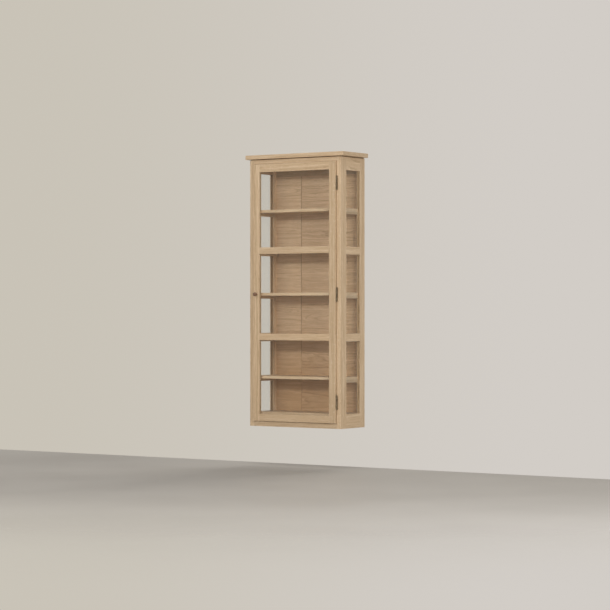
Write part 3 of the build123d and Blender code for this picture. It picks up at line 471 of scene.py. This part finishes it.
def oak_material(name, node, grain, pith_angle, pith_distance, tone, strip_axis="", strip_width=0.0):
    """Oak with its grain along one axis, sawn at an angle and distance from the pith of its tree.

    The node is the name of the CAD node that it is for, or the side of the glazing beads. A strip axis makes
    it staves or veneer leaves of that width, each from another place in the log."""
    material, tree, out = new_material(name)
    place = add_node(tree, "TexCoord")
    order = GRAIN_ORDER[grain]
    point = add_node(tree, "SeparateXYZ", {0: place.outputs["Object"]})
    along, across, up = (point.outputs[axis] for axis in order)
    if strip_axis:
        stacked = point.outputs[strip_axis]
        strip = calc(tree, "FLOOR", calc(tree, "DIVIDE", stacked, strip_width))
        centred = calc(tree, "MULTIPLY_ADD", calc(tree, "ADD", strip, 0.5), -strip_width, stacked)
        along = calc(tree, "MULTIPLY_ADD", strip, STRIP_SHIFT, along)
        if stacked == up:
            up = centred
        else:
            across = centred
    turned = add_node(tree, "CombineXYZ", {0: along, 1: across, 2: up})
    away = math.radians(pith_angle)
    mapped = add_node(tree, "Mapping", {
        "Vector": turned.outputs[0],
        "Location": (random.uniform(-LOG_REACH, LOG_REACH), pith_distance * math.cos(away),
                     pith_distance * math.sin(away)),
        "Rotation": (0.0, math.radians(random.uniform(-GRAIN_TILT, GRAIN_TILT)),
                     math.radians(random.uniform(-GRAIN_TILT, GRAIN_TILT)))})
    facing = add_node(tree, "SeparateXYZ", {0: place.outputs["Normal"]})
    end = ramp(tree, calc(tree, "ABSOLUTE", facing.outputs[order[0]]), *END_FACING)
    oak = add_node(tree, "Group", node_tree=OAK)
    tree.links.new(mapped.outputs[0], oak.inputs["Point"])
    tree.links.new(end, oak.inputs["End"])
    tree.links.new(worn_edge(tree), oak.inputs["Edge"])
    if strip_axis:
        shade = add_node(tree, "TexWhiteNoise", {"W": strip}, noise_dimensions="1D").outputs[0]
        tree.links.new(calc(tree, "MULTIPLY_ADD", shade, STRIP_TONES, tone - STRIP_TONES / 2),
                       oak.inputs["Tone"])
    else:
        oak.inputs["Tone"].default_value = tone
    colour = oak.outputs["Color"]
    # Painted light and shade: the back boards are lighter towards the top and darker towards the foot.
    if node.startswith("back_board"):
        painted_light_and_shade = mixed(tree, ramp(tree, point.outputs["Z"], *BACK_LIGHT_AND_SHADE_HEIGHTS), *BACK_LIGHT_AND_SHADE[node])
        colour = mixed(tree, 1.0, colour, painted_light_and_shade, "MULTIPLY")
    # Painted shade darkens the left beads next to the glass, and painted light lightens the right ones.
    elif node in BEAD_LIGHT_AND_SHADE:
        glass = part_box("right_top_pane")[0].x
        from_glass = calc(tree, "SUBTRACT", glass, calc(tree, "ABSOLUTE", point.outputs["X"]))
        colour = mixed(tree, ramp(tree, from_glass, *BEAD_LIGHT_AND_SHADE_END, 1.0, 0.0), colour,
                       mixed(tree, 1.0, colour, BEAD_LIGHT_AND_SHADE[node], "MULTIPLY"))
    # Painted shade in the groove, the reveals and the back's seams.
    painted_shade = painted_joint_shade(tree, node, point)
    if painted_shade:
        colour = mixed(tree, painted_shade, colour, OAK_PAINTED_SHADE)
    bump = add_node(tree, "Bump", {"Height": oak.outputs["Height"], "Strength": OAK_BUMP,
                                   "Distance": OAK_BUMP_DEPTH})
    shader = add_node(tree, "BsdfPrincipled", {"Base Color": colour,
                                               "Roughness": oak.outputs["Roughness"],
                                               "Normal": bump.outputs[0],
                                               "Specular IOR Level": OAK_SPECULAR})
    tree.links.new(shader.outputs[0], out.inputs[0])
    return material


# ---------------------------------------------------------------- other materials
# The values that most of a noise lies between.
MOST_NOISE = (0.3, 0.7)

# Glass: the colours of what passes through it, of its mirror image and of dust. How much it mirrors straight
# on, and how much more at a glancing angle, by a power. Its wiping marks, which dull the mirror image and
# hold what dust there is.
GLASS_CLEAR = (0.987, 0.990, 0.984, 1.0)
GLASS_MIRROR = (0.95, 0.96, 0.97, 1.0)
GLASS_DUST = (0.72, 0.72, 0.70, 1.0)
GLASS_STRAIGHT = 0.043
GLASS_GLANCING = 0.957
GLASS_POWER = 5.0
WIPE_SCALE = (9.0, 9.0, 5.0)
WIPE_RANGE = (0.45, 0.75)
WIPE_DULLS = (0.3, 0.8)
GLASS_ROUGH = (0.015, 0.07)
DUST_SCALE = (900.0, 900.0, 900.0)
DUST_RANGE = (0.35, 0.7)
DUST_SHOW = 0.02

# Each metal's bright and dull colour and its roughness. The patina and the drawing marks are on all of them,
# and the patina's two numbers are what dull and bright patches add to the roughness.
METALS = {
    "hinge_brass": ((0.520, 0.415, 0.275), (0.270, 0.212, 0.142), 0.38),
    "steel": ((0.56, 0.55, 0.53), (0.36, 0.35, 0.34), 0.30),
    "magnet": ((0.62, 0.61, 0.59), (0.46, 0.45, 0.44), 0.22)}
PATINA_SCALE = (110.0, 110.0, 70.0)
PATINA_RANGE = (0.35, 0.65)
PATINA_ROUGH = (0.12, -0.05)
MARK_SCALE = (60.0, 60.0, 900.0)
MARK_RANGE = (0.45, 0.75)
MARK_SHOW = 0.35
MARK_ROUGH = 0.10
MARK_BUMP = 0.35
MARK_DEPTH = 0.00006

# The knob's dark wood: its figure, its pores, its roughness and its hand polish.
KNOB_LIGHT = (0.265, 0.155, 0.095)
KNOB_DARK = (0.145, 0.080, 0.048)
KNOB_PORE = (0.035, 0.016, 0.010)
KNOB_FIGURE_SCALE = (420.0, 60.0, 160.0)
KNOB_PORE_SCALE = (2600.0, 320.0, 2600.0)
KNOB_PORE_RANGE = (0.55, 0.72)
KNOB_PORE_SHOW = 0.6
KNOB_ROUGH = (0.26, 0.36)
KNOB_PORE_ROUGH_RANGE = (0.4, 0.7)
KNOB_PORE_ROUGH = 0.15
KNOB_BUMP = 0.3
KNOB_BUMP_DEPTH = 0.00008
KNOB_POLISH = 0.25
KNOB_POLISH_ROUGH = 0.2

# The bumpers: the cloudiness of the polyurethane, and the light that gets a little way into it.
BUMPER_SCALE = (500.0, 500.0, 500.0)
BUMPER_DARK = (0.52, 0.50, 0.45)
BUMPER_LIGHT = (0.64, 0.62, 0.56)
BUMPER_ROUGH = (0.30, 0.42)
BUMPER_GLOW = 0.3
BUMPER_GLOW_DEPTH = 0.002

# The floor's faint clouds.
FLOOR_SCALE = (0.8, 0.8, 0.8)
FLOOR_RANGE = (0.25, 0.75)
FLOOR_ROUGH = (0.52, 0.62)


def glass_material():
    """Clear float glass: it lets light straight through, reflects by Fresnel, and has faint wiping marks."""
    material, tree, out = new_material("glass")
    place = object_point(tree)
    wipes = noise(tree, place, WIPE_SCALE, detail=4.0, roughness=0.6).outputs[0]
    dust = noise(tree, place, DUST_SCALE, detail=2.0).outputs[0]
    haze = calc(tree, "MULTIPLY", ramp(tree, wipes, *WIPE_RANGE), ramp(tree, dust, *DUST_RANGE))
    clear = add_node(tree, "BsdfTransparent", {"Color": GLASS_CLEAR})
    gloss = add_node(tree, "BsdfGlossy", {"Color": GLASS_MIRROR,
                                          "Roughness": ramp(tree, wipes, *WIPE_DULLS, *GLASS_ROUGH)})
    film = add_node(tree, "BsdfDiffuse", {"Color": GLASS_DUST})
    facing = add_node(tree, "LayerWeight", {"Blend": 0.5}).outputs["Facing"]
    fresnel = calc(tree, "MULTIPLY_ADD", calc(tree, "POWER", facing, GLASS_POWER), GLASS_GLANCING,
                   GLASS_STRAIGHT)
    dusty = add_node(tree, "MixShader", {0: calc(tree, "MULTIPLY", haze, DUST_SHOW), 1: clear.outputs[0],
                                         2: film.outputs[0]})
    whole = add_node(tree, "MixShader", {0: fresnel, 1: dusty.outputs[0], 2: gloss.outputs[0]})
    tree.links.new(whole.outputs[0], out.inputs[0])
    return material


def metal_material(name, bright, dull, roughness):
    """Metal with a patchy patina, fine drawing marks and uneven gloss."""
    material, tree, out = new_material(name)
    place = object_point(tree)
    patina = noise(tree, place, PATINA_SCALE, detail=4.0, roughness=0.65).outputs[0]
    marks = noise(tree, place, MARK_SCALE, detail=3.0, roughness=0.7).outputs[0]
    colour = mixed(tree, ramp(tree, patina, *PATINA_RANGE), dull, bright)
    colour = mixed(tree, ramp(tree, marks, *MARK_RANGE, 0.0, MARK_SHOW), colour, dull)
    patches = ramp(tree, patina, *MOST_NOISE, roughness + PATINA_ROUGH[0], roughness + PATINA_ROUGH[1])
    rough = calc(tree, "ADD", patches, ramp(tree, marks, *MOST_NOISE, 0.0, MARK_ROUGH))
    bump = add_node(tree, "Bump", {"Height": marks, "Strength": MARK_BUMP, "Distance": MARK_DEPTH})
    shader = add_node(tree, "BsdfPrincipled", {"Base Color": colour, "Roughness": rough, "Metallic": 1.0,
                                               "Normal": bump.outputs[0]})
    tree.links.new(shader.outputs[0], out.inputs[0])
    return material


def walnut_material():
    """Dark turned wood for the knob: its grain runs along Y and it is polished by hand."""
    material, tree, out = new_material("knob_wood")
    place = object_point(tree)
    figure = noise(tree, place, KNOB_FIGURE_SCALE, detail=3.0, roughness=0.6).outputs[0]
    pores = noise(tree, place, KNOB_PORE_SCALE, detail=2.0).outputs[0]
    colour = mixed(tree, ramp(tree, figure, *MOST_NOISE), KNOB_LIGHT, KNOB_DARK)
    colour = mixed(tree, ramp(tree, pores, *KNOB_PORE_RANGE, 0.0, KNOB_PORE_SHOW), colour, KNOB_PORE)
    rough = calc(tree, "ADD", ramp(tree, pores, *KNOB_PORE_ROUGH_RANGE, 0.0, KNOB_PORE_ROUGH),
                 ramp(tree, figure, *MOST_NOISE, *KNOB_ROUGH))
    bump = add_node(tree, "Bump", {"Height": pores, "Strength": KNOB_BUMP, "Distance": KNOB_BUMP_DEPTH},
                    invert=True)
    shader = add_node(tree, "BsdfPrincipled", {"Base Color": colour, "Roughness": rough,
                                               "Normal": bump.outputs[0], "Coat Weight": KNOB_POLISH,
                                               "Coat Roughness": KNOB_POLISH_ROUGH})
    tree.links.new(shader.outputs[0], out.inputs[0])
    return material


def bumper_material():
    """Soft clear-grey polyurethane, slightly yellowed and uneven."""
    material, tree, out = new_material("bumper")
    cloud = noise(tree, object_point(tree), BUMPER_SCALE, detail=3.0).outputs[0]
    colour = mixed(tree, ramp(tree, cloud, *MOST_NOISE), BUMPER_DARK, BUMPER_LIGHT)
    shader = add_node(tree, "BsdfPrincipled", {"Base Color": colour,
                                               "Roughness": ramp(tree, cloud, *MOST_NOISE, *BUMPER_ROUGH),
                                               "Subsurface Weight": BUMPER_GLOW,
                                               "Subsurface Scale": BUMPER_GLOW_DEPTH})
    tree.links.new(shader.outputs[0], out.inputs[0])
    return material


def floor_material():
    """A plain pale floor with faint clouding and a soft sheen, which fades into the surround further off."""
    material, tree, out = new_material("pale_floor")
    place = object_point(tree)
    cloud = noise(tree, place, FLOOR_SCALE, detail=5.0, roughness=0.6).outputs[0]
    colour = mixed(tree, ramp(tree, cloud, *FLOOR_RANGE), FLOOR_DARK, FLOOR_LIGHT)
    shader = add_node(tree, "BsdfPrincipled", {"Base Color": colour, "Specular IOR Level": FLOOR_SPECULAR,
                                               "Roughness": ramp(tree, cloud, *FLOOR_RANGE, *FLOOR_ROUGH)})
    away = add_node(tree, "VectorMath", {0: scaled(tree, place, (1.0, 1.0, 0.0))}, operation="LENGTH")
    fade = ramp(tree, away.outputs["Value"], *FLOOR_FADE)
    whole = add_node(tree, "MixShader", {0: fade, 1: shader.outputs[0],
                                         2: add_node(tree, "BsdfTransparent").outputs[0]})
    tree.links.new(whole.outputs[0], out.inputs[0])
    return material


# ---------------------------------------------------------------- which piece has which material
# How far a node's own cut may be from the one in oak_cuts: the pith's angle either way, and its distance as a
# range of factors.
CUT_TURN = 10
CUT_DISTANCE = (0.85, 1.2)


def oak_cuts():
    """Each oak node's grain axis, and the angle and distance of its pith."""
    cuts = {}
    for side in ("left", "right"):
        cuts[f"front_{side}_post"] = ("Z", 35, 0.16)
        cuts[f"rear_{side}_post"] = ("Z", 60, 0.19)
        cuts[f"door_{side}_stile"] = ("Z", 20, 0.17)
        cuts[f"{side}_shelf_bearers"] = ("Y", 40, 0.20)
        cuts[f"back_board_{side}"] = ("X", 12, 0.085)
        for rail in ("top", "upper", "lower", "bottom"):
            cuts[f"{side}_side_{rail}_rail"] = ("Y", 75, 0.13)
    cuts["back_board_centre"] = ("X", 8, 0.075)
    for rail in ("top", "upper", "lower", "bottom"):
        cuts[f"door_{rail}_rail"] = ("X", 55, 0.12)
    for name in ("front_top_rail", "front_bottom_rail", "top_door_stop", "bottom_door_stop",
                 "hanging_rail", "rear_bottom_rail"):
        cuts[name] = ("X", 65, 0.15)
    cuts["top_board"] = ("X", 78, 0.11)
    cuts["bottom_board"] = ("X", 70, 0.14)
    for number in range(1, 6):
        cuts[f"shelf_{number}"] = ("X", 72, 0.12)
    cuts["top_board_dowels"] = ("Z", 45, 0.02)
    return cuts


def oak_strips(name):
    """The axis and width of the strips that a wide panel is made of: veneer leaves or glued staves."""
    if name.startswith("back_board"):
        return "Z", VENEER_LEAF
    if name == "top_board":
        return "Y", TOP_STAVE
    if name.startswith("shelf") or name == "bottom_board":
        return "Y", SHELF_STAVE
    return "", 0.0


def give_material(node, *materials):
    """Give a CAD node or a new piece its material or materials."""
    node.data.materials.clear()
    for material in materials:
        node.data.materials.append(material)


def ease_edges(node, width, segments=ARRIS_STEPS):
    """Round a CAD node's sharp edges a little, with modifiers that leave its mesh as it is."""
    weld = node.modifiers.new("weld", "WELD")
    weld.merge_threshold = WELD_GAP
    flat = node.modifiers.new("flat", "DECIMATE")
    flat.decimate_type = "DISSOLVE"
    flat.angle_limit = math.radians(FLAT_ANGLE)
    arris = node.modifiers.new("arris", "BEVEL")
    arris.width = width
    arris.segments = segments
    arris.limit_method = "ANGLE"
    arris.angle_limit = math.radians(SHARP_ANGLE)
    arris.use_clamp_overlap = False
    arris.harden_normals = True


def dress_oak():
    """Put oak on every oak node, with its own cut, tone and place in the tree.

    A tone is drawn for every node, so that a new entry in TONES leaves the other nodes as they are."""
    for name, (grain, angle, distance) in oak_cuts().items():
        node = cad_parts[name]
        tone = TONES.get(name, random.uniform(-TONE_SWING, TONE_SWING))
        cut = oak_material(f"oak_{name}", name, grain, angle + random.uniform(-CUT_TURN, CUT_TURN),
                           distance * random.uniform(*CUT_DISTANCE), tone, *oak_strips(name))
        give_material(node, cut)
        ease_edges(node, ARRIS_WIDTH)


def dress_fittings():
    """Put glass, metal, knob wood and bumper material on their nodes."""
    glass = glass_material()
    brass, steel, magnet = (metal_material(name, *look) for name, look in METALS.items())
    for name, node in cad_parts.items():
        if name.endswith("_pane"):
            give_material(node, glass)
            ease_edges(node, PANE_ARRIS)
        elif name.startswith("hinge_"):
            give_material(node, brass)
        elif name in ("knob_bolt", "strike_plate", "strike_screw"):
            give_material(node, steel)
        elif name == "catch_magnet":
            give_material(node, magnet)
        elif name == "knob":
            give_material(node, walnut_material())
        elif name == "door_bumpers":
            give_material(node, bumper_material())
            ease_edges(node, BUMPER_ARRIS, BUMPER_ARRIS_STEPS)


# ---------------------------------------------------------------- glazing beads
def add_strip(mesh, start, end, across, depth, material):
    """Add one bead strip: a rectangular bar with a quarter round along one long edge.

    It runs from start to end along its square outer corner line. Across and depth are the vectors of its two
    sides from that line; the rounded edge is at the far corner of both."""
    width, thick = across.length, depth.length
    radius = min(BEAD_ROUND, width * BEAD_ROUND_SHARE, thick * BEAD_ROUND_SHARE)
    outline = [Vector((0.0, 0.0)), Vector((width, 0.0))]
    first_round = len(outline)
    for step in range(BEAD_STEPS + 1):
        turn = math.pi / 2 * step / BEAD_STEPS
        outline.append(Vector((width - radius + radius * math.cos(turn),
                               thick - radius + radius * math.sin(turn))))
    outline.append(Vector((0.0, thick)))
    over, down = across.normalized(), depth.normalized()
    rings = []
    for place in (start, end):
        rings.append([mesh.verts.new(place + over * point.x + down * point.y) for point in outline])
    count = len(outline)
    for index in range(count):
        follow = (index + 1) % count
        face = mesh.faces.new((rings[0][index], rings[0][follow], rings[1][follow], rings[1][index]))
        face.material_index = material
        face.smooth = first_round <= index < first_round + BEAD_STEPS
    for ring in rings:
        mesh.faces.new(ring).material_index = material


def bead_frame(mesh, window, plane, on_glass, out, upright_depth, level_depth):
    """Add the four strips round one window.

    The window is its lowest and highest corner in the plane's axes, and plane holds those two axes. On_glass
    is where the strips start, along the out vector."""
    first, second = plane
    low, high = window
    for side, sign in ((low[0], -1), (high[0], 1)):
        corner = out * on_glass + first * (side + sign * BEAD_WIDTH)
        add_strip(mesh, corner + second * (low[1] - BEAD_WIDTH), corner + second * (high[1] + BEAD_WIDTH),
                  first * (-sign * BEAD_WIDTH), out * upright_depth, 0)
    for side, sign in ((low[1], -1), (high[1], 1)):
        corner = out * on_glass + second * (side + sign * BEAD_WIDTH)
        add_strip(mesh, corner + first * (low[0] + BEAD_GAP), corner + first * (high[0] - BEAD_GAP),
                  second * (-sign * BEAD_WIDTH), out * level_depth, 1)


def make_beads(side, body):
    """Glazing beads round the three panes of a side or of the door, with the grain along each strip."""
    name = f"{side}_glazing_beads"
    low_box, high_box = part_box(name)
    on_door = side == "door"
    across = Vector((1, 0, 0)) if on_door else Vector((0, 1, 0))
    axis = 0 if on_door else 1
    level_grain = "X" if on_door else "Y"
    mesh = bmesh.new()
    for pane in ("top", "middle", "bottom"):
        low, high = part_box(f"{side}_{pane}_pane")
        inset = BEAD_WIDTH - PANE_PLAY
        window = ((low[axis] + inset, low.z + inset), (high[axis] - inset, high.z - inset))
        if on_door:
            depth = high_box.y - low_box.y
            bead_frame(mesh, window, (across, UP), low_box.y, Vector((0, 1, 0)), depth, depth)
        else:
            sign = 1 if side == "right" else -1
            glass_face = low.x if sign > 0 else high.x
            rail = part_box(f"{side}_side_top_rail")
            level_depth = abs(glass_face - (rail[0].x if sign > 0 else rail[1].x))
            bead_frame(mesh, window, (across, UP), glass_face * -sign, Vector((-sign, 0, 0)),
                       high_box.x - low_box.x, level_depth)
    bmesh.ops.recalc_face_normals(mesh, faces=mesh.faces)
    data = bpy.data.meshes.new(f"{side}_beads_fine")
    piece = bpy.data.objects.new(f"{side}_beads_fine", data)
    bpy.context.scene.collection.objects.link(piece)
    tone = random.uniform(-BEAD_TONE_SWING, BEAD_TONE_SWING)
    # The materials come before to_mesh, because clearing the slots resets the faces' material numbers.
    give_material(piece,
                  oak_material(f"oak_{side}_beads_upright", side, "Z", *BEAD_UPRIGHT_CUT, tone),
                  oak_material(f"oak_{side}_beads_level", side, level_grain, *BEAD_LEVEL_CUT, tone))
    mesh.to_mesh(data)
    mesh.free()
    arris = piece.modifiers.new("arris", "BEVEL")
    arris.width = BEAD_ARRIS
    arris.segments = ARRIS_STEPS
    arris.limit_method = "ANGLE"
    arris.angle_limit = math.radians(BEAD_SHARP_ANGLE)
    arris.harden_normals = True
    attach(piece, body)
    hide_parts(name)


# ---------------------------------------------------------------- stage, lights and camera
def make_floor():
    """A pale floor in front of the wall plane."""
    level = CAD_BOX[0].z - FLOOR_DROP
    half = FLOOR_WIDTH / 2
    mesh = bpy.data.meshes.new("floor")
    mesh.from_pydata([(-half, -FLOOR_REACH, level), (half, -FLOOR_REACH, level), (half, 0, level),
                      (-half, 0, level)], [], [(0, 1, 2, 3)])
    floor = bpy.data.objects.new("floor", mesh)
    bpy.context.scene.collection.objects.link(floor)
    give_material(floor, floor_material())


def make_world():
    """A pale surround like a light wall, and a soft light from all round that is stronger from ahead."""
    world = bpy.data.worlds.new("studio")
    world.use_nodes = True
    tree = world.node_tree
    tree.nodes.clear()
    direction = add_node(tree, "TexCoord").outputs["Generated"]
    way = add_node(tree, "SeparateXYZ", {0: direction})
    wall = mixed(tree, ramp(tree, way.outputs[0], *WALL_CORNER), WALL_LEFT, WALL_RIGHT)
    seen = add_node(tree, "Background", {"Color": wall})
    towards = add_node(tree, "VectorMath", {0: direction, 1: BRIGHT_SIDE}, operation="DOT_PRODUCT")
    ahead = calc(tree, "MULTIPLY", ramp(tree, towards.outputs["Value"], *BRIGHT_SPREAD),
                 ramp(tree, way.outputs[2], *BRIGHT_HORIZON))
    light = add_node(tree, "Background", {"Color": mixed(tree, ahead, AMBIENT, AMBIENT_AHEAD)})
    both = add_node(tree, "MixShader", {0: add_node(tree, "LightPath").outputs["Is Camera Ray"],
                                        1: light.outputs[0], 2: seen.outputs[0]})
    add_node(tree, "OutputWorld", {0: both.outputs[0]})
    bpy.context.scene.world = world


def make_lamps():
    """Wide soft lamps round the cabinet that shine on its middle and leave no mirror image in the glass."""
    centre = (CAD_BOX[0] + CAD_BOX[1]) / 2
    for name, ((azimuth, elevation, distance), size, power, colour) in LAMPS.items():
        turn, rise = math.radians(azimuth), math.radians(elevation)
        way = Vector((math.sin(turn) * math.cos(rise), -math.cos(turn) * math.cos(rise), math.sin(rise)))
        place = centre + way * distance
        lamp = bpy.data.lights.new(name, "AREA")
        lamp.shape = "RECTANGLE"
        lamp.size, lamp.size_y = size
        lamp.energy = power
        lamp.color = colour
        light = bpy.data.objects.new(name, lamp)
        light.location = place
        light.rotation_euler = (centre - place).to_track_quat("-Z", "Y").to_euler()
        light.visible_glossy = False
        bpy.context.scene.collection.objects.link(light)


def make_camera():
    """The camera at the photograph's viewing angle."""
    data = bpy.data.cameras.new("camera")
    data.lens = CAMERA_LENS
    data.sensor_width = SENSOR_WIDTH
    data.shift_y = CAMERA_SHIFT_Y
    data.clip_end = CAMERA_FAR
    camera = bpy.data.objects.new("camera", data)
    camera.location = CAMERA_PLACE
    camera.rotation_euler = (math.pi / 2, 0.0, CAMERA_TURN)
    bpy.context.scene.collection.objects.link(camera)
    bpy.context.scene.camera = camera


make_camera()
make_world()
make_lamps()
make_floor()
dress_oak()
dress_fittings()
make_beads("left", "cabinet")
make_beads("right", "cabinet")
make_beads("door", "door")
bpy.context.scene.view_settings.view_transform = "Standard"

bpy.context.view_layer.update()
